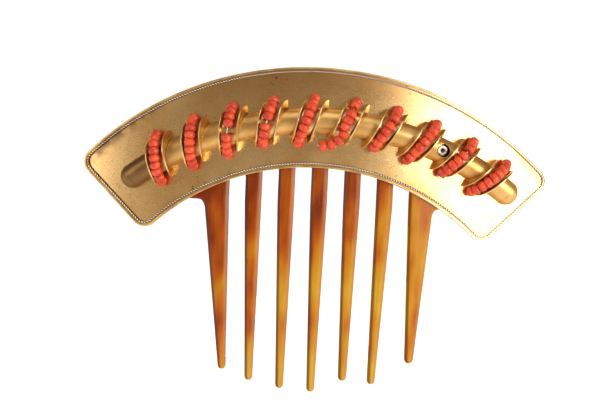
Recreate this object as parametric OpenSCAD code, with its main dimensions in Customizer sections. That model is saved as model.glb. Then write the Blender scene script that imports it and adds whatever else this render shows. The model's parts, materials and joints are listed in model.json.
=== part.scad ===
// Decorative hair comb: an arched gilt plate with a half-round rod, ten wound channels
// of coral beads, and a seven-tine horn comb behind it. Millimetres, +Z up, tines down,
// decorated face towards -Y. The origin is on the middle tine, level with the outer shoulders.

/* [Plate] */
// Radius that the whole comb is bent to, measured at the plate's front face
bend_r = 160; // [140:5:220]
// Outer radius of the arched plate
plate_outer_r = 88.3; // [85:0.1:96]
// Inner radius of the arched plate
plate_inner_r = 62; // [57:0.1:64]
// Height of the arch centre above the shoulders of the comb
plate_arc_z = -52.3; // [-54:0.1:-50]
// How far the plate sits to the right of the tines' middle
plate_shift = -1.2; // [-2:0.1:1]
// Angle from the middle of the plate to either end
plate_half_angle = 46.5; // [42:0.5:50]
// Thickness of the plate's sheet
plate_t = 0.6; // [0.4:0.05:0.9]
// Radius of the plate's four corners
corner_r = 3.8; // [2.4:0.1:4.5]

/* [Edging] */
// Width of the flat strip round the plate's edge
rim_w = 0.6; // [0.4:0.05:0.9]
// Thickness of that strip
rim_t = 0.25; // [0.15:0.05:0.5]
// Distance from the plate's edge to the middle of the twisted border wire
border_inset = 1.15; // [1:0.05:2.3]
// Radius of the border wire
border_r = 0.25; // [0.2:0.01:0.35]
// Radius of the small lug on the plate's right end
lug_r = 1.25; // [0.8:0.05:1.6]
// Distance of the lug from the plate's inner edge
lug_up = 11; // [8:0.5:16]

/* [Rod] */
// Radius of the arc that the rod follows
rod_arc_r = 82.6; // [80:0.1:86]
// Height of that arc's centre above the shoulders of the comb
rod_arc_z = -60.65; // [-62:0.05:-60]
// Angle from the middle of the rod to the start of either domed end
rod_half_angle = 37; // [36:0.5:39]
// Outer radius of the half-round rod
rod_r = 3.4; // [3:0.1:3.8]
// Thickness of the rod's sheet
rod_sheet = 0.35; // [0.25:0.05:0.5]

/* [Coils] */
// Angle along the rod's arc from one coil to the next
coil_step = 7; // [6.6:0.1:7.2]
// How far the row of coils sits to the right of the middle, in degrees
coil_shift = 0.9; // [0:0.1:1.2]
// Advance of a coil along the rod in its half turn
coil_advance = 5.05; // [3.5:0.05:5.5]
// Distance between the middles of a channel's two fins, along the rod
channel_w = 4.9; // [4.6:0.1:5.4]
// Thickness of a fin
fin_t = 0.4; // [0.3:0.05:0.6]
// Outer radius of a fin about the rod's axis
fin_r = 5.7; // [5.4:0.1:6.6]
// Thickness of the channel's floor
floor_t = 0.3; // [0.2:0.05:0.4]

/* [Coral] */
// Radius of a bead
bead_r = 1.5; // [1.2:0.05:1.55]
// Length of a bead along its wire
bead_l = 1.76; // [1.3:0.02:1.78]
// Angle from one bead to the next, about the centre of the wire's arc
bead_step = 15.2; // [15:0.1:16]
// Radius of the arc that each bead wire follows
string_r = 7; // [6.9:0.1:7.6]
// Lean of a bead wire from square to the rod
string_lean = 20.5; // [15:0.5:22]
// Radius of the bead wire
wire_r = 0.15; // [0.1:0.01:0.18]
// Radius of the hole through a bead
bead_bore_r = 0.28; // [0.26:0.01:0.35]

/* [Rivet] */
// Radius of the tubular rivet's flange
rivet_flange_r = 1.3; // [1.1:0.05:1.4]
// Radius of the tubular rivet's barrel
rivet_r = 0.95; // [0.85:0.05:1]
// Radius of the tubular rivet's bore
rivet_bore_r = 0.6; // [0.5:0.05:0.7]
// Radius of the hole in the rod above the rivet
rod_hole_r = 1.75; // [1.6:0.05:1.9]
// Height of the rivet's flange above the plate
rivet_h = 2.2; // [1.8:0.1:2.4]

/* [Horn comb] */
// Thickness of the horn behind the plate
horn_t = 2.8; // [2.2:0.1:3.6]
// Thickness of the tines at the lowest tip
tip_t = 1.5; // [1.2:0.1:2]
// Outer radius of the horn heading behind the plate
heading_r = 73; // [70:0.5:74]
// Angle from the middle of the heading to either end
heading_half_angle = 38.5; // [37:0.5:40]
// Distance from one tine to the next
tine_step = 8.65; // [8.4:0.05:9]
// Width of an inner tine at its root
tine_w = 4.4; // [3.8:0.1:4.6]
// Width of an inner tine just above its tip
tine_tip_w = 2.1; // [1.6:0.1:2.4]
// Width of an outer tine at its root
outer_tine_w = 6.6; // [5.5:0.1:7]
// Length of the middle tine below the shoulders
tine_l = 49.6; // [44:0.2:52]
// Radius of the curve that the seven tips lie on
tip_curve_r = 62; // [50:1:90]
// Radius of the fillets at the outer tines' shoulders
shoulder_r = 1.6; // [1:0.1:2]

/* [Pegs] */
// Radius of the pegs that hold the plate to the horn
peg_r = 0.8; // [0.6:0.05:1]
// Radius of the washers under the pegs' heads
washer_r = 1.9; // [1.6:0.1:2.2]
// Thickness of the washers
washer_t = 0.4; // [0.3:0.05:0.6]

/* [Hidden] */

$fn = 64;
far = 400;                    // larger than anything here, for cutting solids
seam = 0.03;                  // solder seam between neighbouring pieces
clearance = 0.05;             // radial clearance of pegs, wires and the rivet in their holes
bead_rest = 0.1;              // air between a channel's floor and the beads above it
coil_count = 10;
sheet_back_r = bend_r - plate_t;
horn_back_r = sheet_back_r - horn_t;
bend_axis_y = sheet_back_r - horn_t / 2;
floor_in_r = rod_r + 0.05;
floor_out_r = floor_in_r + floor_t;
string_top = floor_out_r + bead_r + bead_rest;
string_drop = string_r - string_top;          // how far the wire's centre lies behind the plate's face
string_foot = acos(string_drop / string_r);   // angle at which the wire meets the plate
string_end = 4 * bead_step;                   // angle of the first bead on every wire

// For each coil: beads above the gap, the gap in degrees, and beads below the gap
bead_rows = [[9, 0, 0], [9, 0, 0], [4, 15.2, 4], [4, 7.5, 4], [9, 0, 0],
  [2, 9, 3], [3, 4, 5], [9, 0, 0], [3, 8, 5], [9, 0, 0]];
// How far each string lies along the rod from the middle of its channel
string_shift = [-0.3, -0.3, -0.3, -0.3, -0.3, -0.2, 0, 0, 0.1, 0.1];

// The sixth wire leaves its channel after its last bead and hangs in an arc to the left
loose_r = 6.2;                // radius of the hanging arc
loose_h = 4.6;                // height of the hanging arc above the plate
loose_along = -6.3;           // centre of the hanging arc, along the rod from the coil
loose_across = -0.5;          // centre of the hanging arc, across the rod
loose_first = 24;             // angle of the first hanging bead
loose_step = 20;              // angle from one hanging bead to the next
loose_count = 4;
loose_last = loose_first + loose_step * (loose_count - 0.5);
tail_swing = 1.2;             // how far the wire's end swings out before it turns back to the rod
tail_across = rod_r + 0.7;    // distance of the wire's last hole from the rod's middle line

peg_angles = [-30, -12, 12, 30];
peg_arc_r = (plate_inner_r + heading_r) / 2 + 1.5;

tine_count = 7;
root_up = 2.4;                // how far the gaps between the tines run up behind the plate
draw_in = 0.045;              // share by which the tips stand closer together than the roots
tip_loss = [0, 0, 0, 0, 2.7, 0.5, 2.8];       // length worn or broken off each tip
tip_drift = [1, 0, 0, 0, 0, -0.6, 0.9];       // how far each tip was sawn to the right of its line

// ---- Places on the bent surface ----

// A point that is turned about the bend's axis, at a height above the plate's front face
function bent(turn, z, h) =
  [(bend_r + h) * sin(turn), bend_axis_y - (bend_r + h) * cos(turn), z];
// The same point given by its distance x from the middle, as seen square to the front
function seen_at(x, z, h) = bent(asin(x / bend_r), z, h);
// A point on the plate's face at an angle and a radius on the plate's arch
function on_plate(a, r, h) = seen_at(plate_shift + r * sin(a), plate_arc_z + r * cos(a), h);
// Turn of the rod's middle line about the bend's axis, at an angle on the rod's arc
function rod_turn(a) = asin(rod_arc_r * sin(a) / bend_r);
// Slope of the rod's middle line within the bent surface
function rod_slope(a) = atan(tan(a) * cos(rod_turn(a)));
// A point across the rod and above the plate, at an angle on the rod's arc
function on_rod(a, across, h) =
  bent(rod_turn(a) + across * sin(rod_slope(a)) / bend_r * 180 / PI,
    rod_arc_z + rod_arc_r * cos(a) + across * cos(rod_slope(a)), h);
// Angle on the rod's arc after moving a distance along it
function along_rod(a, s) =
  a + s / rod_arc_r * 180 / PI * cos(rod_turn(a)) * cos(rod_slope(a)) / cos(a);
// Angle of a coil on the rod's arc
function coil_angle(i) = coil_shift + (i - (coil_count + 1) / 2) * coil_step;

// Puts children at a place on the rod: x along the rod, y across it, z out of the plate
module at_rod(a) {
  translate(on_rod(a, 0, 0)) rotate([0, 0, rod_turn(a)])
    rotate([0, rod_slope(a), 0]) rotate([90, 0, 0]) children();
}

// Puts children at a place on the plate's arch, in the same way
module at_plate(a, r) {
  translate(on_plate(a, r, 0)) rotate([0, 0, asin((plate_shift + r * sin(a)) / bend_r)])
    rotate([90, 0, 0]) children();
}

// ---- General shapes ----

// A shell about the bend's axis, between two radii
module bent_shell(inner, outer) {
  translate([0, bend_axis_y, -far / 2]) difference() {
    cylinder(r = outer, h = far, $fn = 180);
    translate([0, 0, -1]) cylinder(r = inner, h = far + 2, $fn = 180);
  }
}

// A flat outline seen from the front, run right through the comb
module through() {
  translate([0, far / 8, 0]) rotate([90, 0, 0]) linear_extrude(far / 4) children();
}
// The same, with the outline drawn about the centre of the plate's arch
module at_arch() through() translate([plate_shift, plate_arc_z]) children();

function total(list, i = 0) = i == len(list) ? [0, 0, 0] : list[i] + total(list, i + 1);
function unit(v) = v / norm(v);
// Points along an arc about a centre, from one angle to another
function arc_points(c, r, from, to, steps = 8, first = 0) =
  [for (i = [first : steps]) let (a = from + (to - from) * i / steps) c + r * [cos(a), sin(a)]];
function reversed(list) = [for (i = [len(list) - 1 : -1 : 0]) list[i]];
// Whether a ring of points runs anticlockwise as seen from ahead of it
function faces_ahead(ring, ahead) =
  total([for (j = [0 : len(ring) - 1]) cross(ring[j], ring[(j + 1) % len(ring)])]) * ahead > 0;

// A closed solid swept through rings of points, with an end face on the first and last ring
module swept(rings) {
  n = len(rings[0]);
  last = len(rings) - 1;
  ahead = rings[1][0] - rings[0][0];
  in_order = faces_ahead(rings[0], ahead) ? rings : [for (ring = rings) reversed(ring)];
  sides = [for (i = [0 : last - 1]) for (j = [0 : n - 1]) let (k = (j + 1) % n)
    each [[(i + 1) * n + j, (i + 1) * n + k, i * n + k], [(i + 1) * n + j, i * n + k, i * n + j]]];
  ends = [[for (j = [0 : n - 1]) j], [for (j = [n - 1 : -1 : 0]) last * n + j]];
  polyhedron([for (ring = in_order) each ring], concat(sides, ends), convexity = 8);
}

// A round tube along a row of points; ref is a direction that the tube never runs along
module tube(points, r, ref, sides = 8) {
  last = len(points) - 1;
  swept([for (i = [0 : last])
    let (run = points[min(i + 1, last)] - points[max(i - 1, 0)])
    let (u = unit(cross(run, ref)), v = unit(cross(run, u)))
      [for (j = [0 : sides - 1]) points[i] + r * (u * cos(360 * j / sides) + v * sin(360 * j / sides))]]);
}

// ---- Plate and edging ----

// The region between two lines at angles a either side of upright, moved inwards by d
module wedge(a, d) {
  intersection_for(side = [0, 1])
    mirror([side, 0]) rotate(a) translate([d, -far]) square(2 * far);
}

outer_steps = 32;               // straight steps in half of the outer arc
inner_steps = 24;               // and in half of the inner arc
corner_steps = 6;               // and round a corner
// The centre of the left end's outer (out = 1) or inner (out = -1) corner rounding
function corner_at(edge_r, r, d, out) = let (x = d + r, y = sqrt(pow(edge_r - out * r, 2) - x * x),
  a = plate_half_angle) [x * cos(a) - y * sin(a), x * sin(a) + y * cos(a)];
function way_to(v) = atan2(v[1], v[0]);
// The left half of the plate's outline moved inwards by d, from the top middle round to the bottom
function half_outline(d) = let (r = corner_r - d, end_way = 180 + plate_half_angle,
  outer = corner_at(plate_outer_r - d, r, d, 1), inner = corner_at(plate_inner_r + d, r, d, -1))
  concat(arc_points([0, 0], plate_outer_r - d, 90, way_to(outer), outer_steps),
    arc_points(outer, r, way_to(outer), end_way, corner_steps, 1),
    arc_points(inner, r, end_way, 180 + way_to(inner), corner_steps),
    arc_points([0, 0], plate_inner_r + d, way_to(inner), 90, inner_steps, 1));
function arch_outline(d) = let (half = half_outline(d))
  concat(half, [for (i = [len(half) - 2 : -1 : 1]) [-half[i][0], half[i][1]]]);

module face_plate() color("goldenrod") difference() {
  intersection() {
    bent_shell(sheet_back_r, bend_r);
    at_arch() polygon(arch_outline(0));
  }
  for (i = [1 : coil_count]) wire_feet(i, wire_r + clearance, plate_t + 1);
  at_rod(rivet_angle) translate([0, 0, -plate_t - 1])
    cylinder(r = rivet_r + clearance, h = plate_t + 2);
}

module rim_strip() color("darkgoldenrod") difference() {
  intersection() {
    bent_shell(bend_r + seam, bend_r + rim_t);
    at_arch() polygon(arch_outline(0));
  }
  at_arch() polygon(arch_outline(rim_w));
}

// A round lug soldered to the plate's right end
module edge_lug() color("goldenrod") difference() {
  intersection() {
    bent_shell(sheet_back_r, bend_r + rim_t);
    at_arch() rotate(-plate_half_angle) translate([0, plate_inner_r + lug_up]) circle(lug_r);
  }
  at_arch() wedge(plate_half_angle, -seam);
}

// The same outline with points put in so that no two lie further apart than most
function filled(list, most) = [for (i = [0 : len(list) - 1])
  let (from = list[i], to = list[(i + 1) % len(list)], n = ceil(norm(to - from) / most))
    for (k = [0 : n - 1]) from + (to - from) * k / n];

border_h = border_r + seam;     // height of the border wire's middle line
border_join = 0.1;              // gap where the wire's two ends meet, in the middle of the left end
face_ref = [0.1, -1, 0];        // roughly out of the plate, and never along the border wire

// One wire all round, inside the rim strip
module border_wire() color("gold") {
  loop = filled(arch_outline(border_inset), 3);
  start = outer_steps + corner_steps + 3;
  n = len(loop);
  last = loop[(start + n - 1) % n] - loop[start];
  path = concat([for (i = [0 : n - 1]) loop[(start + i) % n]], [loop[start] + border_join * unit(last)]);
  tube([for (p = path) seen_at(p[0] + plate_shift, p[1] + plate_arc_z, border_h)], border_r, face_ref);
}

// ---- Rod and rivet ----

rod_facets = 12;
rod_steps = 32;

// Points of a half circle about the rod's axis, from its lower foot to its upper foot
function rod_half(a, r) = [for (j = [0 : rod_facets])
  let (t = -90 + 180 * j / rod_facets) on_rod(a, r * sin(t), seam + r * cos(t))];

module rod_tube() color("goldenrod") difference() {
  swept([for (i = [0 : rod_steps]) let (a = rod_half_angle * (2 * i / rod_steps - 1))
    concat(rod_half(a, rod_r), reversed(rod_half(a, rod_r - rod_sheet)))]);
  at_rod(rivet_angle) translate([0, 0, 1]) cylinder(r = rod_hole_r, h = rod_r);
}

// A hollow quarter-ball that closes one end of the rod
module rod_cap(side) {
  at_rod(side * rod_half_angle) intersection() {
    difference() {
      sphere(rod_r);
      sphere(rod_r - rod_sheet);
    }
    translate([side > 0 ? seam : -far - seam, -far / 2, seam]) cube(far);
  }
}

module rod_cap_left() color("darkgoldenrod") rod_cap(-1);
module rod_cap_right() color("goldenrod") rod_cap(1);

// The rivet's hole stands just clear of the left fin of the ninth coil
rivet_angle = along_rod(coil_angle(9), -channel_w / 2 - fin_t / 2 - rod_hole_r - seam);
rivet_flange_t = 0.3;

// The rivet's tube is open at the front and closed by its back flange
module tubular_rivet() color("silver") at_rod(rivet_angle) difference() {
  union() {
    translate([0, 0, -plate_t - seam - rivet_flange_t]) cylinder(r = rivet_flange_r, h = rivet_flange_t);
    translate([0, 0, -plate_t - seam - rivet_flange_t])
      cylinder(r = rivet_r, h = rivet_h + plate_t + seam + rivet_flange_t);
    translate([0, 0, rivet_h - rivet_flange_t]) cylinder(r = rivet_flange_r, h = rivet_flange_t);
  }
  translate([0, 0, -plate_t - seam]) cylinder(r = rivet_bore_r, h = far);
}

// ---- Channels ----

// Cross-section of a channel at a turn t about the rod: a floor between two fins
function channel_ring(i, t) =
  let (half_in = (channel_w - fin_t) / 2, half_out = (channel_w + fin_t) / 2)
  [for (p = [[-half_out, floor_in_r], [-half_out, fin_r], [-half_in, fin_r], [-half_in, floor_out_r],
      [half_in, floor_out_r], [half_in, fin_r], [half_out, fin_r], [half_out, floor_in_r]])
    on_rod(along_rod(coil_angle(i), p[0] + coil_advance * t / 180), p[1] * sin(t),
      seam + p[1] * cos(t))];

channel_steps = 18;

// A strip wound half a turn round the rod as a screw, with a fin standing along each edge
module channel(i) color("peru")
  swept([for (k = [0 : channel_steps]) channel_ring(i, 180 * k / channel_steps - 90)]);

// ---- Coral and its wires ----

// Puts children in the plane of a coil's wire: y up along the wire's lean, z out of the plate,
// with the origin at the centre of the wire's arc
module in_string(i) {
  at_rod(coil_angle(i)) translate([string_shift[i - 1], 0, -string_drop])
    rotate([0, 0, -string_lean]) children();
}

// From a bead's hole to its widest: shares of its radius and of its half length
bead_edge = [[0, 1], [0.5, 0.92], [0.83, 0.7], [1, 0.22]];
// A bead with softened edges and a hole for the wire, along y
module bead() {
  half = bead_l / 2;
  rotate([90, 0, 0]) rotate_extrude($fn = 24)
    polygon([for (side = [-1, 1], p = side < 0 ? bead_edge : reversed(bead_edge))
      [max(bead_bore_r, bead_r * p[0]), side * half * p[1]]]);
}

// Beads side by side on a coil's wire, downwards from a first angle
module bead_run(i, first, count) color("tomato") {
  in_string(i) for (k = [0 : count - 1])
    rotate([k * bead_step - first, 0, 0]) translate([0, 0, string_r]) bead();
}

module upper_beads(i) bead_run(i, string_end, bead_rows[i - 1][0]);

module lower_beads(i) {
  row = bead_rows[i - 1];
  bead_run(i, string_end - row[0] * bead_step - row[1], row[2]);
}

// The straight feet of a coil's wire, through the plate
module wire_feet(i, r, depth) {
  for (side = i == 6 ? [1] : [-1, 1]) in_string(i)
    translate([0, side * string_r * sin(string_foot), string_drop - depth])
      cylinder(r = r, h = depth + r, $fn = 24);
  if (i == 6) at_rod(coil_angle(i)) translate([tail_along, -tail_across, -depth])
    cylinder(r = r, h = depth + r, $fn = 24);
}

module bead_wire(i) color("silver") {
  in_string(i) rotate([0, -90, 0]) rotate(-string_foot) rotate_extrude(angle = 2 * string_foot)
    translate([string_r, 0]) circle(wire_r, $fn = 24);
  wire_feet(i, wire_r, plate_t);
}

// The sixth wire: its arc over the rod, then the hanging arc, then its end turned back to the
// rod's foot. Places are along, across and above the rod at the sixth coil.
function string_place(q) = let (y = string_r * sin(q))
  [y * sin(string_lean) + string_shift[5], y * cos(string_lean), string_r * cos(q) - string_drop];
function loose_place(q) =
  [loose_along + loose_r * cos(q), loose_across - loose_r * sin(q), loose_h];
function tail_place(t) = let (from = loose_place(loose_last))
  [from[0] - tail_swing * sin(t), from[1] - (from[1] + tail_across) * (1 - cos(t)) / 2,
    loose_h * cos(t / 2)];
tail_along = tail_place(180)[0];
string_leaves = string_end - 4.4 * bead_step - bead_rows[5][1];  // where the wire leaves the rod

module bead_wire_6() color("silver") {
  at_rod(coil_angle(6)) tube(concat(
    [for (k = [0 : 16]) string_place(string_foot + (string_leaves - string_foot) * k / 16)],
    [for (k = [0 : 12]) loose_place(loose_first - 6 + (loose_last - loose_first + 6) * k / 12)],
    [for (k = [1 : 8]) tail_place(180 * k / 8)]), wire_r, [0.8, -0.5, 0.33]);
  wire_feet(6, wire_r, plate_t);
}

module coral_6_loose() color("tomato") at_rod(coil_angle(6))
  for (k = [0 : loose_count - 1]) let (q = loose_first + k * loose_step)
    translate(loose_place(q)) rotate([0, 0, -q]) bead();

// ---- Horn comb ----

gap_w = tine_step - tine_w;
middle = (tine_count - 1) / 2;
outer_in_x = middle * tine_step - tine_w / 2;   // inner edge of an outer tine
outer_out_x = outer_in_x + outer_tine_w;
tine_top = 6;                                   // tines run up this far, inside the heading

// A tine's outline; k counts from the middle tine
module tine(k) {
  side = k < 0 ? -1 : 1;
  outer = abs(k) == middle;
  w = outer ? outer_tine_w : tine_w;
  root_x = outer ? side * (outer_in_x + w / 2) : k * tine_step;
  tip_x = tip_drift[k + middle]
    + (outer ? side * (outer_in_x + tine_tip_w / 2) : k * tine_step * (1 - draw_in));
  curve_up = tip_curve_r - sqrt(tip_curve_r * tip_curve_r - tip_x * tip_x);
  full_l = tine_l - curve_up;
  kept = 1 - tip_loss[k + middle] / full_l;
  end_w = w + (tine_tip_w - w) * kept;
  end = [root_x + (tip_x - root_x) * kept, -full_l * kept + end_w / 2];
  through() polygon(concat([[root_x - w / 2, tine_top], [root_x + w / 2, tine_top], [root_x + w / 2, 0]],
    arc_points(end, end_w / 2, 0, -180), [[root_x - w / 2, 0]]));
}

// The gap between two tines, with a round root behind the plate's lower edge
module gap_root(x) {
  root_z = plate_arc_z + sqrt(pow(plate_inner_r + root_up, 2) - x * x) - gap_w / 2;
  through() polygon(concat([[x - gap_w / 2, -0.01], [x + gap_w / 2, -0.01]],
    arc_points([x, root_z], gap_w / 2, 0, 180, 12)));
}

// The heading behind the plate, level along its lower edge
module heading() intersection() {
  through() translate([0, plate_arc_z]) circle(heading_r, $fn = 180);
  through() translate([0, plate_arc_z]) wedge(heading_half_angle, 0);
  through() translate([-far / 2, 0]) square(far);
}

// The fillet where an outer tine meets the heading's shoulder
module shoulder(side) {
  through() mirror([side, 0]) polygon(concat([[outer_out_x - 2, 1], [outer_out_x + shoulder_r, 1]],
    arc_points([outer_out_x + shoulder_r, -shoulder_r], shoulder_r, 90, 176),
    [[outer_out_x - 2, -shoulder_r]]));
}

// The space behind the horn: the heading's back is parallel to its front, and the tines thin
// towards their tips
module behind_horn() translate([0, bend_axis_y, 0]) {
  cylinder(r = horn_back_r, h = far, $fn = 180);
  translate([0, 0, -tine_l - 1])
    cylinder(r1 = sheet_back_r - tip_t, r2 = horn_back_r, h = tine_l + 1, $fn = 180);
}

module horn_comb() color("sienna") difference() {
  intersection() {
    translate([0, bend_axis_y, -far / 2]) cylinder(r = sheet_back_r - seam, h = far, $fn = 180);
    union() {
      heading();
      for (side = [0, 1]) shoulder(side);
      for (k = [-middle : middle]) tine(k);
    }
  }
  behind_horn();
  for (k = [0 : tine_count - 2]) gap_root((k + 0.5 - middle) * tine_step);
  for (a = peg_angles) at_plate(a, peg_arc_r) translate([0, 0, -far / 8])
    cylinder(r = peg_r + clearance, h = far / 8);
}

// ---- Pegs ----

horn_back = -plate_t - horn_t;                 // the horn's back, measured out of the plate's face
head_h = 0.5;                                  // height of a peg's hammered head
head_r = peg_r + 0.35;

module plate_pegs() color("goldenrod") for (a = peg_angles) at_plate(a, peg_arc_r) {
  translate([0, 0, horn_back - washer_t - 2 * seam]) cylinder(r = peg_r, h = horn_t + washer_t + seam);
  translate([0, 0, horn_back - washer_t - 2 * seam - head_h]) cylinder(r1 = peg_r, r2 = head_r, h = head_h);
}

module peg_washers() color("darkgoldenrod") for (a = peg_angles) at_plate(a, peg_arc_r)
  translate([0, 0, horn_back - seam - washer_t]) difference() {
    cylinder(r = washer_r, h = washer_t);
    translate([0, 0, -1]) cylinder(r = peg_r + clearance, h = washer_t + 2);
  }

// ---- The nodes ----

horn_comb();
face_plate();
rim_strip();
edge_lug();
border_wire();
rod_tube();
rod_cap_left();
rod_cap_right();
tubular_rivet();
plate_pegs();
peg_washers();
channel(1);  // channel_1
channel(2);  // channel_2
channel(3);  // channel_3
channel(4);  // channel_4
channel(5);  // channel_5
channel(6);  // channel_6
channel(7);  // channel_7
channel(8);  // channel_8
channel(9);  // channel_9
channel(10);  // channel_10
bead_wire(1);  // bead_wire_1
bead_wire(2);  // bead_wire_2
bead_wire(3);  // bead_wire_3
bead_wire(4);  // bead_wire_4
bead_wire(5);  // bead_wire_5
bead_wire_6();
bead_wire(7);  // bead_wire_7
bead_wire(8);  // bead_wire_8
bead_wire(9);  // bead_wire_9
bead_wire(10);  // bead_wire_10
upper_beads(1);  // coral_1
upper_beads(2);  // coral_2
upper_beads(3);  // coral_3_upper
lower_beads(3);  // coral_3_lower
upper_beads(4);  // coral_4_upper
lower_beads(4);  // coral_4_lower
upper_beads(5);  // coral_5
upper_beads(6);  // coral_6_upper
lower_beads(6);  // coral_6_lower
upper_beads(7);  // coral_7_upper
lower_beads(7);  // coral_7_lower
upper_beads(8);  // coral_8
upper_beads(9);  // coral_9_upper
lower_beads(9);  // coral_9_lower
upper_beads(10);  // coral_10
coral_6_loose();
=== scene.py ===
# %% [markdown]
# # A gilt and coral hair comb
# This comb has an arched gilt plate, a half-round rod along it, and ten little channels wound
# round the rod. Each channel holds a string of coral beads. Seven tines of blonde horn stand
# behind the plate. The solids come from CAD, in metres, and this lesson gives them their finish.

# %% Load the solids
import json
import math
import bmesh
import bpy
import numpy as np
from mathutils import Matrix, Vector
from mathutils.bvhtree import BVHTree

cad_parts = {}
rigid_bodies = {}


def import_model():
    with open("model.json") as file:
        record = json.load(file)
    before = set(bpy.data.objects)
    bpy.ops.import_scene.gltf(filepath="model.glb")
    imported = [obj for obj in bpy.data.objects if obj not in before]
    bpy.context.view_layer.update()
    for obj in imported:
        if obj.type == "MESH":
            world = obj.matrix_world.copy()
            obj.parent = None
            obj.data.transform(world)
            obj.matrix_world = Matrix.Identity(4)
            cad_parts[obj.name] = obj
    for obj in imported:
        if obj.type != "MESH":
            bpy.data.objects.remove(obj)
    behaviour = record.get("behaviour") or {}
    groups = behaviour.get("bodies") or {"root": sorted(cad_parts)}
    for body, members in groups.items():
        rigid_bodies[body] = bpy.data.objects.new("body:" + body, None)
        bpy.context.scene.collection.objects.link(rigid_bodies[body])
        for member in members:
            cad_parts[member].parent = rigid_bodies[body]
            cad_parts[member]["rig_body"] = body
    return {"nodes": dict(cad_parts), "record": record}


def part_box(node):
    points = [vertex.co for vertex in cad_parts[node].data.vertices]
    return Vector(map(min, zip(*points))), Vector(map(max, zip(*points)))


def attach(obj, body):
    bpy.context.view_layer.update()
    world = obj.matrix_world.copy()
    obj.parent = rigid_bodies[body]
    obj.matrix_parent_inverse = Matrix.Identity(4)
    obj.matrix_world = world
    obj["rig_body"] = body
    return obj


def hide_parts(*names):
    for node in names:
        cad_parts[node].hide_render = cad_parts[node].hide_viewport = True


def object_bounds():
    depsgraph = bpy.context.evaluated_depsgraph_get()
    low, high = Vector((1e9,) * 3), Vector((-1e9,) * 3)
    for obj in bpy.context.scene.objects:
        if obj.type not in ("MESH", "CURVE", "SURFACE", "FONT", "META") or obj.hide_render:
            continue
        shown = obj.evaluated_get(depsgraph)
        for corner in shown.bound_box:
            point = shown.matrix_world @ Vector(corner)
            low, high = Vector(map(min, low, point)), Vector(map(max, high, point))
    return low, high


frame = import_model()
solid = frame["nodes"]
cad_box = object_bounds()
print(len(solid), "solids between", cad_box)

# %% [markdown]
# Sizes are easier to read in millimetres, and Blender works in metres. One constant does the
# change. The whole comb is bent about an upright axis behind it, and `bent` puts a point of the
# flat pattern on that bend, at a height above the plate's face. The plate's outline is a slice of
# an arch with four rounded corners. It can be moved inwards, and it always has the same number of
# points, so outlines at several depths join into one mesh.

# %% The bend and the arch
MM = 0.001
bend_r, plate_t, horn_t = 160.0, 0.6, 2.8
outer_r, inner_r, half_angle, corner_r = 88.3, 62.0, 46.5, 3.8
arch_x, arch_z = -1.2, -52.3
bend_y = bend_r - plate_t - horn_t / 2


def bent(x, z, height):
    """A point of the flat pattern, laid on the bend, in metres."""
    turn = math.asin(x / bend_r)
    reach = bend_r + height
    return MM * Vector((reach * math.sin(turn), bend_y - reach * math.cos(turn), z))


def outline(depth, arc_n=96, corner_n=8, end_n=10):
    """The plate's outline moved inwards by a depth, as flat points anticlockwise from the top."""
    r = max(corner_r - depth, 0.0)
    turn = math.radians(half_angle)

    def corner(edge_r, out):
        x = depth + r
        y = math.sqrt((edge_r - out * r) ** 2 - x * x)
        return np.array([x * math.cos(turn) - y * math.sin(turn),
                         x * math.sin(turn) + y * math.cos(turn)])

    def arc(middle, radius, start, end, steps):
        t = np.linspace(start, end, steps + 1)
        return np.stack([middle[0] + radius * np.cos(t), middle[1] + radius * np.sin(t)], 1)

    top, low = corner(outer_r - depth, 1), corner(inner_r + depth, -1)
    way = [math.atan2(p[1], p[0]) for p in (top, low)]
    first = arc(top, r, way[0], math.pi + turn, corner_n)
    second = arc(low, r, math.pi + turn, math.pi + way[1], corner_n)
    end = np.linspace(first[-1], second[0], end_n + 1)[1:-1]
    upper = arc((0, 0), outer_r - depth, math.pi / 2, way[0], arc_n)
    under = arc((0, 0), inner_r + depth, way[1], math.pi / 2, arc_n)
    half = np.concatenate([upper[:-1], first, end, second, under[1:]])
    other = half[-2:0:-1] * (-1, 1)
    return np.concatenate([half, other]) + (arch_x, arch_z)


plate_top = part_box("face_plate")[1].z / MM
print("plate top is off by", round(outline(0)[:, 1].max() - plate_top, 3), "mm")

# %% [markdown]
# ## Camera
# A long lens from a little under half a metre keeps the plate's ends from shrinking much. The
# camera leans by a few degrees, so the comb's right end sits lower, as when it is laid down by
# hand. The comb's middle is slightly right of the picture's middle.

# %% Camera
distance, elevation, lean = 0.430, 2.5, 2.6
sensor, covered = 36, 0.1614       # the sensor's width in mm, and the width seen at the comb in m
aim = Vector((-3.3 * MM, 0, 0))
lens = bpy.data.cameras.new("long_lens")
lens.sensor_width = sensor
lens.lens = sensor * distance / covered
lens.clip_start = 0.01
camera = bpy.data.objects.new("camera", lens)
bpy.context.scene.collection.objects.link(camera)
camera.matrix_world = (Matrix.Translation(aim)
                       @ Matrix.Rotation(math.radians(90 - elevation), 4, "X")
                       @ Matrix.Rotation(math.radians(lean), 4, "Z")
                       @ Matrix.Translation((0, 0, distance)))
bpy.context.scene.camera = camera
print("lens", round(lens.lens, 1), "mm")

# %% [markdown]
# ## Writing shaders as sums
# A material is a graph of small nodes. Wiring each one by hand hides the idea, so one class
# wraps a socket and lets Python's own operators add the Math nodes. `1 - mask` needs the
# reflected forms too, because there Python asks the right-hand side. Colours never go through
# a Math node, which would turn them grey: they go through `blend`, a Mix node.

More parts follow.
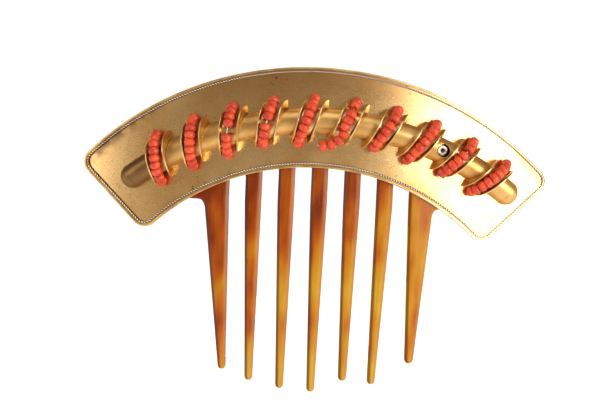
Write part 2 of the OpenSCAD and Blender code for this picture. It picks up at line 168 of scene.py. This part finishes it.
# %% A socket that does arithmetic
class Flow:
    def __init__(self, finish, socket):
        self.finish, self.socket = finish, socket

    def math(self, operation, *others):
        inputs = dict(enumerate((self, *others)))
        return self.finish.add("ShaderNodeMath", {"operation": operation}, inputs)

    def __add__(self, other): return self.math("ADD", other)
    def __radd__(self, other): return self.math("ADD", other)
    def __sub__(self, other): return self.math("SUBTRACT", other)
    def __rsub__(self, other): return self.finish.add(
        "ShaderNodeMath", {"operation": "SUBTRACT"}, {0: other, 1: self})
    def __mul__(self, other): return self.math("MULTIPLY", other)
    def __rmul__(self, other): return self.math("MULTIPLY", other)
    def __truediv__(self, other): return self.math("DIVIDE", other)

    def between(self, start, end):
        """0 below start, 1 above end, and smooth in between; end may be the lower one."""
        return self.finish.add("ShaderNodeMapRange", {"interpolation_type": "SMOOTHSTEP"},
                               {"Value": self, "From Min": start, "From Max": end})


class Finish:
    """One material: its principled shader, and the method that adds any other node."""

    def __init__(self, name, **constants):
        self.material = bpy.data.materials.new(name)
        self.material.use_nodes = True
        self.tree = self.material.node_tree
        self.shader = self.tree.nodes["Principled BSDF"]
        for socket, value in constants.items():
            self.shader.inputs[socket.replace("_", " ")].default_value = value
        self.place = self.add("ShaderNodeTexCoord", out="Object")
        x, y, z = (self.add("ShaderNodeSeparateXYZ", {}, {0: self.place}, out=i) for i in range(3))
        self.x, self.y, self.z = x * 1000, y * 1000, z * 1000      # millimetres

    def add(self, kind, settings=None, inputs=None, out=0):
        node = self.tree.nodes.new(kind)
        for key, value in (settings or {}).items():
            if key == "stops":
                ramp = node.color_ramp.elements
                while len(ramp) < len(value):
                    ramp.new(0.5)
                for element, (at, colour) in zip(ramp, value):
                    element.position, element.color = at, (*colour, 1)
            else:
                setattr(node, key, value)
        for key, value in (inputs or {}).items():
            if isinstance(value, Flow):
                self.tree.links.new(value.socket, node.inputs[key])
            elif value is not None:
                if isinstance(value, tuple) and len(value) == 3 and node.inputs[key].type == "RGBA":
                    value = (*value, 1)
                node.inputs[key].default_value = value
        return Flow(self, node.outputs[out])

    def stretched(self, sx, sy, sz):
        """The place on the piece, stretched, so that a pattern on it runs lengthwise."""
        return self.add("ShaderNodeMapping", {}, {"Vector": self.place, "Scale": (sx, sy, sz)})

    def noise(self, size_mm, detail=3.0, rough=0.55, place=None):
        """A noise whose blotches are about size_mm across."""
        return self.add("ShaderNodeTexNoise", {}, {"Vector": place or self.place,
                        "Scale": 1000 / size_mm, "Detail": detail, "Roughness": rough})

    def ramp(self, value, *stops):
        return self.add("ShaderNodeValToRGB", {"stops": stops}, {0: value})

    def blend(self, factor, first, second, mode="MIX"):
        return self.add("ShaderNodeMix", {"data_type": "RGBA", "blend_type": mode},
                        {0: factor, 6: first, 7: second}, out=2)

    def bump(self, height, depth_mm, strength=1.0, under=None):
        return self.add("ShaderNodeBump", {}, {"Height": height, "Distance": depth_mm * MM,
                        "Strength": strength, "Normal": under})

    def feed(self, **links):
        for socket, value in links.items():
            self.tree.links.new(value.socket, self.shader.inputs[socket.replace("_", " ")])
        print(self.material.name, "uses", len(self.tree.nodes), "nodes")
        return self.material


# %% [markdown]
# ## Gilt sheet
# The plate is thin sheet with a gilt surface that has been polished by hand for years. Real
# gilding is never one colour: rubbing leaves fine scratches along the arch, and the dark metal
# shows in pinholes, near the rim, and as brown clouds. Metal takes its look from what it
# reflects, so the shader is fully metallic and the wear goes into colour, roughness and a very
# shallow bump.

# %% Gilt finishes
def gilt(name, pale, deep, dull, spots, clouds, bronze=None, painted_highlight_end=None):
    """dull is the least roughness, spots the strength of pinholes, clouds their size in mm."""
    f = Finish(name, Metallic=1.0)
    cloud = f.noise(clouds, 4, 0.6)
    fine = f.noise(1.6, 5, 0.7)
    scratch = f.noise(0.35, 2, 0.5, f.stretched(0.06, 1, 1))
    pinhole = f.noise(1.1, 2, 0.4).between(0.70, 0.76) * f.noise(9, 2).between(0.40, 0.62) * spots
    colour = f.blend(cloud.between(0.30, 0.72), pale, deep)
    colour = f.blend(fine.between(0.55, 0.8) * 0.35, colour, tuple(c * 0.55 for c in deep))
    twist = f.add("ShaderNodeAttribute", {"attribute_name": "twist"}, out="Fac")
    # painted highlight: the outermost crests of the twist turn near white
    colour = f.blend(twist.between(1.60, 1.85) * 0.95, colour, (1.0, 0.97, 0.88))
    # painted shade with tarnish: the grooves between the strands turn almost black
    groove_shade_and_tarnish = twist.between(1.70, 1.40) * twist.between(0.05, 0.4)
    colour = f.blend(groove_shade_and_tarnish * 0.92, colour, (0.05, 0.025, 0.01))
    if painted_highlight_end:                    # painted highlight: paler towards the comb's right, where the right light washes the edging out
        colour = f.blend(f.x.between(*painted_highlight_end) * 0.85, colour, (0.95, 0.90, 0.78))
    if bronze:                      # worn to the bronze on this side of the comb
        colour = f.blend(f.x.between(*bronze) * 0.9, colour, (0.17, 0.09, 0.035))
    colour = f.blend(pinhole, colour, (0.05, 0.025, 0.01))
    rough = dull + 0.10 * fine + 0.06 * scratch + 0.3 * pinhole
    normal = f.bump(f.noise(11, 1, 0.4), 0.12, 0.6)
    normal = f.bump(scratch, 0.004, 0.5, normal)
    return f.feed(Base_Color=colour, Roughness=rough, Normal=normal)


def plate_gilt():
    """The plate's own finish: browner along its top middle, stained near the left rim."""
    f = Finish("gilt_plate", Metallic=1.0)
    cloud = f.noise(17, 4, 0.6)
    fine = f.noise(1.4, 5, 0.7)
    scratch = f.noise(0.30, 2, 0.5, f.stretched(0.05, 1, 1))
    scratch_2 = f.noise(0.5, 2, 0.5, f.stretched(1, 1, 0.07))
    pinhole = f.noise(1.0, 2, 0.4).between(0.69, 0.75) * f.noise(9, 2).between(0.36, 0.6)
    aside, up = f.x - arch_x, f.z - arch_z
    radius = (aside * aside + up * up).math("SQRT")
    edge = (radius.between(inner_r + 4.2, inner_r + 0.6)
            + radius.between(outer_r - 5.2, outer_r - 1.0))
    brown = radius.between(74, 87) * f.x.between(-52, -18) * f.x.between(44, 12)
    stain = f.x.between(-38, -48) * radius.between(83, 87.4) * f.noise(5, 3).between(0.36, 0.62)
    colour = f.blend(cloud.between(0.32, 0.7), (0.84, 0.57, 0.26), (0.74, 0.44, 0.17))
    colour = f.blend(brown * 0.7, colour, (0.52, 0.27, 0.10))
    colour = f.blend(edge * cloud.between(0.35, 0.65) * 0.5, colour, (0.42, 0.21, 0.06))
    colour = f.blend(stain * 0.85, colour, (0.09, 0.035, 0.012))
    colour = f.blend(fine.between(0.54, 0.76) * 0.2, colour, (0.42, 0.23, 0.08))
    colour = f.blend(f.noise(0.6, 3, 0.7).between(0.52, 0.75) * 0.18, colour, (0.95, 0.72, 0.38))
    colour = f.blend(pinhole * 0.9, colour, (0.05, 0.025, 0.01))
    rough = 0.20 + 0.09 * fine + 0.05 * scratch + 0.25 * pinhole + 0.12 * stain + 0.05 * edge
    normal = f.bump(f.noise(15, 0, 0.3), 0.10, 0.6)
    normal = f.bump(scratch + scratch_2, 0.002, 0.4, normal)
    return f.feed(Base_Color=colour, Roughness=rough, Normal=normal)


finish = {
    "gilt_plate": plate_gilt(),
    # the edging's pale right end, from 22 to 50 mm, is a painted highlight
    "gilt_edging": gilt("gilt_edging", (0.80, 0.56, 0.26), (0.50, 0.27, 0.09),
                        dull=0.30, spots=0.8, clouds=5, painted_highlight_end=(22, 50)),
    "gilt_rod": gilt("gilt_rod", (0.80, 0.50, 0.18), (0.60, 0.32, 0.09),
                     dull=0.33, spots=0.7, clouds=9, bronze=(-34, -46)),
    "gilt_channel": gilt("gilt_channel", (0.86, 0.62, 0.30), (0.66, 0.38, 0.12),
                         dull=0.24, spots=0.3, clouds=5),
    "brass_fixing": gilt("brass_fixing", (0.62, 0.44, 0.20), (0.40, 0.24, 0.09),
                         dull=0.36, spots=0.6, clouds=3),
}

# %% [markdown]
# ## White metal and wire
# The rivet and the bead wires are a pale, dull metal. Drawing a wire leaves grooves along it,
# which are too fine to see, so a noise in the roughness is enough.

# %% White metals
def white_metal(name, pale, dark, dull):
    f = Finish(name, Metallic=1.0)
    grime = f.noise(0.8, 4, 0.6)
    colour = f.blend(grime.between(0.45, 0.75), pale, dark)
    return f.feed(Base_Color=colour, Roughness=dull + 0.25 * grime,
                  Normal=f.bump(f.noise(0.25, 2), 0.008, 0.5))


finish["silver_wire"] = white_metal("silver_wire", (0.66, 0.62, 0.56), (0.18, 0.14, 0.11), 0.30)
finish["white_metal"] = white_metal("white_metal", (0.55, 0.48, 0.40), (0.24, 0.19, 0.14), 0.32)

# %% [markdown]
# ## Coral
# Coral is an orange-red stone with a waxy shine. It is opaque but light goes a little way in,
# so a small subsurface share softens the shadows between beads. No two beads match: a noise as
# large as a bead shifts the red, and a fine one gives the pores and growth lines.

# %% Coral
def coral():
    f = Finish("red_coral", Subsurface_Weight=0.10, Subsurface_Scale=0.0006, Coat_Weight=0.18,
               Coat_Roughness=0.20, Specular_IOR_Level=0.4)
    f.shader.inputs["Subsurface Radius"].default_value = (1.0, 0.20, 0.10)
    bead = f.noise(2.6, 1, 0.3)
    vein = f.noise(0.35, 3, 0.6)
    colour = f.blend(bead.between(0.32, 0.68), (0.80, 0.088, 0.024), (0.56, 0.042, 0.014))
    colour = f.blend(vein.between(0.58, 0.80) * 0.30, colour, (0.86, 0.20, 0.10))
    colour = f.blend(f.noise(0.5, 2).between(0.70, 0.78) * 0.5, colour, (0.25, 0.02, 0.010))
    return f.feed(Base_Color=colour, Roughness=0.28 + 0.22 * vein,
                  Normal=f.bump(vein, 0.02, 0.4))


finish["red_coral"] = coral()

# %% [markdown]
# ## Blonde horn
# Horn is layered and half clear. Its colour depends on how much light comes through, so it is
# deep red-brown where the plate shades it and honey towards the tips, with streaks along each
# tine that follow the layers. The streaks are one noise squeezed across the tines. A coat gives
# the polish, and the bump under it keeps faint lengthwise scraper marks.

# %% Horn
def horn():
    f = Finish("blonde_horn", Coat_Weight=0.08, Coat_Roughness=0.12, Subsurface_Weight=0.06,
               Subsurface_Scale=0.0015, Specular_IOR_Level=0.16)
    f.shader.inputs["Subsurface Radius"].default_value = (1.0, 0.35, 0.06)
    streak = f.noise(3.2, 4, 0.6, f.stretched(1.4, 1.0, 0.16))
    fibre = f.noise(0.7, 3, 0.6, f.stretched(1, 1, 0.05))
    mottle = f.noise(8, 2, 0.5, f.stretched(1, 1, 0.45))
    band = f.z.between(-25, -33) * f.z.between(-47, -41)         # a darker layer near the tips
    depth = 0.48 + f.z / 85 + (streak - 0.5) * 0.40 + (mottle - 0.5) * 1.3 - f.x / 170 + band * 0.22
    colour = f.ramp(depth, (0.00, (0.54, 0.290, 0.016)), (0.22, (0.49, 0.195, 0.006)),
                    (0.42, (0.40, 0.082, 0.003)), (0.64, (0.21, 0.027, 0.002)),
                    (1.00, (0.07, 0.009, 0.002)))
    filed = f.add("ShaderNodeAttribute", {"attribute_name": "filed"}, out="Fac")
    colour = f.blend(fibre.between(0.52, 0.78) * 0.22, colour, (0.62, 0.28, 0.02))
    colour = f.blend(fibre.between(0.45, 0.22) * 0.25, colour, (0.12, 0.02, 0.004))
    colour = f.blend(filed.between(0.2, 0.8) * 0.5, colour, (0.40, 0.19, 0.06))
    colour = f.blend(filed.between(-0.2, -0.8) * 0.7, colour, (0.07, 0.018, 0.005))
    return f.feed(Base_Color=colour, Roughness=0.24 + 0.16 * fibre,
                  Normal=f.bump(fibre, 0.02, 0.5, f.bump(streak, 0.08, 0.5)))


finish["blonde_horn"] = horn()

# %% [markdown]
# ## Mesh helpers
# A solid that comes from CAD has exact but sharp edges and split vertices. To refine one, its
# mesh is copied, its vertices are welded, and a narrow bevel is cut along the sharp edges: light
# catches that bevel, and this is what makes sheet metal look like metal. The copy replaces the
# solid, which stays in the frame for collision.

# %% Copies, bevels and registration
def link(name, mesh):
    piece = bpy.data.objects.new(name, mesh)
    bpy.context.scene.collection.objects.link(piece)
    return piece


def settle(piece, angle=35):
    """Bakes the piece's modifiers, then shades it smooth up to an angle."""
    bpy.context.view_layer.update()
    evaluated = piece.evaluated_get(bpy.context.evaluated_depsgraph_get())
    made = bpy.data.meshes.new_from_object(evaluated)
    piece.modifiers.clear()
    piece.data = made
    made.polygons.foreach_set("use_smooth", [True] * len(made.polygons))
    made.set_sharp_from_angle(angle=math.radians(angle))
    return piece


def enter(piece, slot, *nodes):
    """Gives a new piece its finish and its body, and hides the solids that it stands for."""
    piece.data.materials.clear()
    piece.data.materials.append(finish[slot])
    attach(piece, solid[nodes[0]]["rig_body"])
    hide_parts(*nodes)
    return piece


def welded(node, name):
    mesh = bpy.data.meshes.new(name)
    shape = bmesh.new()
    shape.from_mesh(solid[node].data)
    bmesh.ops.remove_doubles(shape, verts=shape.verts, dist=2e-6)
    shape.to_mesh(mesh)
    shape.free()
    if "custom_normal" in mesh.attributes:
        mesh.attributes.remove(mesh.attributes["custom_normal"])
    return link(name, mesh)


def refined(node, slot, bevel_mm, angle=40, segments=2):
    piece = welded(node, node + "_piece")
    bevel = piece.modifiers.new("edge", "BEVEL")
    bevel.width, bevel.segments = bevel_mm * MM, segments
    bevel.limit_method, bevel.angle_limit = "ANGLE", math.radians(angle)
    bevel.use_clamp_overlap = True
    return enter(settle(piece), slot, node)


# %% [markdown]
# ## Coral beads
# Each bead is a small rondelle cut with flat facets, and a hole through it. The CAD gives each
# bead's place as one closed shell, so the shells are pulled apart and each shell's middle and
# axis are measured: a rondelle is shorter than it is wide, so its axis is the direction in which
# its points spread least. Each new bead is turned by a chance amount, and sized a little
# differently, because beads on a hand-strung wire never line up.

# %% Cut the beads
def shells(mesh):
    """The vertex places of each separate shell of a mesh."""
    shape = bmesh.new()
    shape.from_mesh(mesh)
    bmesh.ops.remove_doubles(shape, verts=shape.verts, dist=2e-6)
    left, found = set(shape.verts), []
    for start in shape.verts:          # in the mesh's own order, so that every run is the same
        if start not in left:
            continue
        left.remove(start)
        group, edge = [], [start]
        while edge:
            v = edge.pop()
            group.append(v.co[:])
            for e in v.link_edges:
                w = e.other_vert(v)
                if w in left:
                    left.remove(w)
                    edge.append(w)
        found.append(np.array(group))
    shape.free()
    return found


def cut_bead(shape, middle, axis, radius, length, chance):
    """Adds one faceted bead; its middle rings are turned by half a facet."""
    sides = 9
    half = length / 2
    profile = [(0.20, -0.90), (0.56, -0.98), (0.87, -0.68), (1.0, -0.12 + 0.24 * chance.random()),
               (0.88, 0.66), (0.56, 0.98), (0.20, 0.90)]
    u = axis.orthogonal().normalized()
    v = axis.cross(u)
    spin = chance.random() * math.tau
    rings = []
    for k, (r, h) in enumerate(profile):
        ring = []
        for j in range(sides):
            t = spin + math.tau * (j + 0.5 * (k % 2) * (2 <= k <= 4)) / sides
            wobble = 1 - 0.05 * chance.random() * (r > 0.5)
            across = radius * r * wobble * (u * math.cos(t) + v * math.sin(t))
            ring.append(shape.verts.new(middle + axis * half * h + across))
        rings.append(ring)
    for a, b in zip(rings, rings[1:] + rings[:1]):
        for j in range(sides):
            shape.faces.new((a[j], a[(j + 1) % sides], b[(j + 1) % sides], b[j]))


count = 0
for node in sorted(n for n in solid if n.startswith("coral_")):
    chance = np.random.default_rng(sum(map(ord, node)))
    shape = bmesh.new()
    for points in shells(solid[node].data):
        middle = points.mean(0)
        spread, ways = np.linalg.eigh(np.cov((points - middle).T))
        axis = ways[:, 0]
        along = (points - middle) @ axis
        across = np.linalg.norm(points - middle - np.outer(along, axis), axis=1)
        radius = float(across.max()) * (0.98 + 0.07 * chance.random())
        length = float(np.ptp(along)) * (1.10 + 0.08 * chance.random())
        cut_bead(shape, Vector(middle), Vector(axis), radius, length, chance)
        count += 1
    bmesh.ops.triangulate(shape, faces=shape.faces)
    bmesh.ops.recalc_face_normals(shape, faces=shape.faces)
    mesh = bpy.data.meshes.new(node + "_beads")
    shape.to_mesh(mesh)
    shape.free()
    piece = link(node + "_beads", mesh)
    bevel = piece.modifiers.new("polish", "BEVEL")
    bevel.width, bevel.segments = 0.05 * MM, 2
    bevel.limit_method, bevel.angle_limit = "ANGLE", math.radians(12)
    enter(settle(piece, 12), "red_coral", node)
print("cut", count, "beads")

# %% [markdown]
# ## Twisted border
# The border is two fine gilt wires twisted together and soldered inside the plate's edge. Two
# round strands wind about the border's middle line, half a turn apart, with a whole number of
# turns so that their ends meet. Sweeping them as real strands costs some faces, but the dark line
# between strands is then a true groove, and it looks right from any side. Each point's height in
# the twist is kept as an attribute, from 0 underneath to 2 on a crest. The colour uses it for
# painted shade with tarnish in the grooves, and a painted highlight on the crests. Pieces without
# it read 0, and get neither.

# %% Twist the border wire
def finish_shape(shape, name):
    bmesh.ops.remove_doubles(shape, verts=shape.verts, dist=1e-7)
    bmesh.ops.recalc_face_normals(shape, faces=shape.faces)
    mesh = bpy.data.meshes.new(name)
    shape.to_mesh(mesh)
    shape.free()
    return link(name, mesh)


def close_rings(shape, rings, loop):
    """Faces between neighbouring rings of points, and from the last to the first if it loops."""
    n = len(rings[0])
    for a, b in zip(rings, rings[1:] + rings[:1] if loop else rings[1:]):
        for j in range(n):
            shape.faces.new((a[j], a[(j + 1) % n], b[(j + 1) % n], b[j]))


inset, wire_h = 1.15, 0.30            # where the twist's middle line lies, mm
strand_r, offset, pitch = 0.15, 0.14, 1.45
step, ring_n = 0.12, 6                # the distance between a strand's rings, and a ring's points
path = outline(inset, 200, 12, 40)
path = np.concatenate([path, path[:1]])
gone = np.concatenate([[0], np.cumsum(np.linalg.norm(np.diff(path, axis=0), axis=1))])
want = np.arange(0, gone[-1] - step / 2, step)
path = [bent(np.interp(w, gone, path[:, 0]), np.interp(w, gone, path[:, 1]), wire_h)
        for w in want]
turns = round(gone[-1] / pitch)
shape = bmesh.new()
for phase in (0, math.pi):
    rings = []
    for i, p in enumerate(path):
        ahead = (path[(i + 1) % len(path)] - path[i - 1]).normalized()
        out = Vector((p.x, p.y - bend_y * MM, 0)).normalized()
        side = ahead.cross(out).normalized()
        t = phase + math.tau * turns * i / len(path)
        middle = p + offset * MM * (out * math.cos(t) + side * math.sin(t))
        around = [out * math.cos(q) + side * math.sin(q)
                  for q in (math.tau * j / ring_n for j in range(ring_n))]
        rings.append([shape.verts.new(middle + strand_r * MM * way) for way in around])
    close_rings(shape, rings, True)
piece = finish_shape(shape, "border_twist")
crests = []
for v in piece.data.vertices:
    height = math.hypot(v.co.x, v.co.y - bend_y * MM) / MM - bend_r - wire_h
    crests.append(1 + height / (offset + strand_r))
piece.data.attributes.new("twist", "FLOAT", "POINT").data.foreach_set("value", crests)
enter(settle(piece, 70), "gilt_edging", "border_wire")
print("border has", turns, "turns and", 2 * len(path), "rings")

# %% [markdown]
# ## Plate and rim
# Both follow the same outline at several depths. The plate is a loft of outlines from its middle
# line out to the edge and back behind, so its faces run with the arch and reflections stay
# smooth. The rim is a loft of a rounded strip section. The rivet's hole is punched through the
# plate with a boolean, at the place that the record's mount gives.

# %% Loft the plate and the rim
def loft(name, section, loop):
    shape = bmesh.new()
    rings = [[shape.verts.new(bent(x, z, height)) for x, z in outline(depth)]
             for depth, height in section]
    close_rings(shape, rings, loop)
    return finish_shape(shape, name)


edge_r = 0.1                       # rounding of the sheet's edge
steps = [(outer_r - inner_r) / 2, 12, 10.5, 9, 7.5, 6, 4.8, 3.8, 3, 2.2, 1.5, 1, 0.6, 0.3, edge_r]
section = ([(d, 0) for d in steps] + [(0, -edge_r), (0, edge_r - plate_t)]
           + [(d, -plate_t) for d in steps[::-1]])
plate = loft("plate_sheet", section, False)
mount = next(m for m in frame["record"]["mounts"] if m["name"] == "rivet_bore")
shape = bmesh.new()
punch_r, punch_l = 0.98 * MM, 6 * MM
turned = Vector(mount["axis"]).to_track_quat("Z", "Y").to_matrix().to_4x4()
bmesh.ops.create_cone(shape, segments=48, radius1=punch_r, radius2=punch_r, depth=punch_l,
                      cap_ends=True, matrix=Matrix.Translation(mount["pos_m"]) @ turned)
punch = finish_shape(shape, "punch")
hole = plate.modifiers.new("hole", "BOOLEAN")
hole.operation, hole.object, hole.solver = "DIFFERENCE", punch, "EXACT"
enter(settle(plate, 30), "gilt_plate", "face_plate")
bpy.data.objects.remove(punch)
rim_w, rim_t = 0.6, 0.25
rim = loft("rim_piece", [(0, 0.03), (0, 0.16), (0.07, 0.22), (0.2, rim_t), (rim_w - 0.2, rim_t),
                         (rim_w - 0.07, 0.22), (rim_w, 0.16), (rim_w, 0.03)], True)
enter(settle(rim, 60), "gilt_edging", "rim_strip")
print("plate has", len(plate.data.polygons), "faces")

# %% [markdown]
# ## Horn comb
# The tines were sawn from one plate of horn, filed to a bevel along their front edges, and
# polished. The remesh turns the exact solid into small even faces. Then each point measures how
# far it is from the nearest side, with a ray to the left and one to the right, and points near a
# side sink back to make the bevel. The bevel's side is kept as an attribute, since a filed face
# looks paler where it turns to the light and darker where it turns away. A little smoothing
# finishes it.

# %% File the tines
piece = welded("horn_comb", "horn_comb_piece")
sides = BVHTree.FromObject(piece, bpy.context.evaluated_depsgraph_get())
cells = piece.modifiers.new("cells", "REMESH")
cells.mode, cells.voxel_size = "VOXEL", 0.30 * MM
settle(piece, 180)
seam = 0.03                                    # between the plate and the horn, mm
bevel_top, bevel_w, bevel_slope = 12, 1.0, 0.7 # the height where it starts, its width and fall
full_sink = 0.4                                # a point this deep counts as fully filed
points = piece.data.vertices
moved, filed = 0, [0.0] * len(points)
for v in points:
    co = v.co.copy()
    spoke = Vector((co.x, co.y - bend_y * MM, 0))
    out = spoke.normalized()
    face = bend_r - plate_t - seam - spoke.length / MM   # depth behind the horn's front face
    if co.z < bevel_top * MM and face < bevel_w * bevel_slope:
        inner = co - out * 0.5 * MM
        reach = [sides.ray_cast(inner, Vector((s, 0, 0)), 0.01)[3] or 0 for s in (-1, 1)]
        near = min(reach) / MM
        sink = max(0.0, bevel_w - near) * bevel_slope
        if sink > 0:
            filed[v.index] = min(1.0, sink / full_sink) * (1 if reach[1] < reach[0] else -1)
        if sink > face:
            v.co = co + out * (face - sink) * MM
            moved += 1
piece.data.attributes.new("filed", "FLOAT", "POINT").data.foreach_set("value", filed)
smooth = piece.modifiers.new("polish", "SMOOTH")
smooth.factor, smooth.iterations = 0.5, 2
enter(settle(piece, 180), "blonde_horn", "horn_comb")
print("horn has", len(piece.data.polygons), "faces, bevel moved", moved, "points")

# %% [markdown]
# ## Sheet metal pieces
# The rod, its domed ends and the channels are thin sheet, and the rivet, pegs and washers are
# turned or hammered. Their CAD shapes are right, so they are refined copies with a narrow bevel.
# The bead wires are too thin to show more than their CAD shape has, so they only take a finish.

# %% Refine the sheet pieces
for i in range(1, 11):
    refined(f"channel_{i}", "gilt_channel", 0.10)
for node in ("rod_tube", "rod_cap_left", "rod_cap_right"):
    refined(node, "gilt_rod", 0.05, 50)
refined("edge_lug", "gilt_edging", 0.12)
refined("tubular_rivet", "white_metal", 0.08)
refined("plate_pegs", "brass_fixing", 0.10)
refined("peg_washers", "brass_fixing", 0.08)
for i in range(1, 11):
    wire = solid[f"bead_wire_{i}"]
    wire.data.materials.clear()
    wire.data.materials.append(finish["silver_wire"])
print("refined the sheet pieces")

# %% [markdown]
# ## Floor
# A pale sheet runs under the tines and curves up far behind them, so no horizon shows, and there is
# room to walk round the comb. It is part of the stage and not of the comb.

# %% Floor sweep
floor_z = cad_box[0][2] - 0.4 * MM
wall_y, wall_top, cove_r, half_width = 1.6, 2.2, 0.5, 1.8
profile = [(-0.6, floor_z), (wall_y - cove_r, floor_z)]
profile += [(wall_y - cove_r * (1 - math.sin(t)), floor_z + cove_r * (1 - math.cos(t)))
            for t in (math.pi / 2 * k / 12 for k in range(1, 13))]
profile += [(wall_y, wall_top)]
shape = bmesh.new()
rows = [[shape.verts.new((x, y, z)) for x in (-half_width, half_width)] for y, z in profile]
for a, b in zip(rows, rows[1:]):
    shape.faces.new((a[0], a[1], b[1], b[0]))
mesh = bpy.data.meshes.new("sweep")
shape.to_mesh(mesh)
shape.free()
sweep = link("sweep", mesh)
mesh.polygons.foreach_set("use_smooth", [True] * len(mesh.polygons))
paper = Finish("pale_paper", Roughness=0.9)
shade = paper.blend(paper.noise(60, 2), (0.90, 0.90, 0.90), (0.93, 0.93, 0.92))
# painted shade: the floor's front is a darker, dimmer strip that stands in for the dim room the
# plate mirrors
shade = paper.blend(paper.y.between(-50, -140), shade, (0.42, 0.38, 0.33))
sweep.data.materials.append(paper.feed(Base_Color=shade, Emission_Color=shade))
paper.shader.inputs["Emission Strength"].default_value = 0.62

# %% [markdown]
# ## Light
# Metal shows its lights, so they are placed by what the plate mirrors. The plate bends away at
# its ends, so each part of it looks into another part of the room. A large soft light on the
# right fills the right third of the plate, a smaller one on the left makes the bright left end,
# and the dim middle of the room gives the brown and gold between them.

# %% Soft lights
def softbox(name, azimuth, height, reach, width, tall, watts, colour=(1, 1, 1)):
    data = bpy.data.lights.new(name, "AREA")
    data.shape, data.size, data.size_y = "RECTANGLE", width, tall
    data.energy, data.color = watts, colour
    lamp = bpy.data.objects.new(name, data)
    bpy.context.scene.collection.objects.link(lamp)
    a = math.radians(azimuth)
    lamp.location = (reach * math.sin(a), -reach * math.cos(a), height)
    lamp.rotation_euler = (-Vector(lamp.location)).to_track_quat("-Z", "Y").to_euler()


softbox("window_right", 48, 0.02, 0.7, 0.60, 0.36, 5.2, (1.0, 0.99, 0.98))
softbox("window_left", -64, 0.06, 0.7, 0.20, 0.5, 1.3, (1.0, 0.97, 0.93))
softbox("ceiling", 0, 0.75, 0.45, 0.6, 0.6, 2.0)
world = bpy.data.worlds.new("room")
bpy.context.scene.world = world
world.use_nodes = True
world.node_tree.nodes["Background"].inputs[0].default_value = (0.60, 0.52, 0.43, 1)
world.node_tree.nodes["Background"].inputs[1].default_value = 0.52
bpy.context.scene.view_settings.view_transform = "Standard"
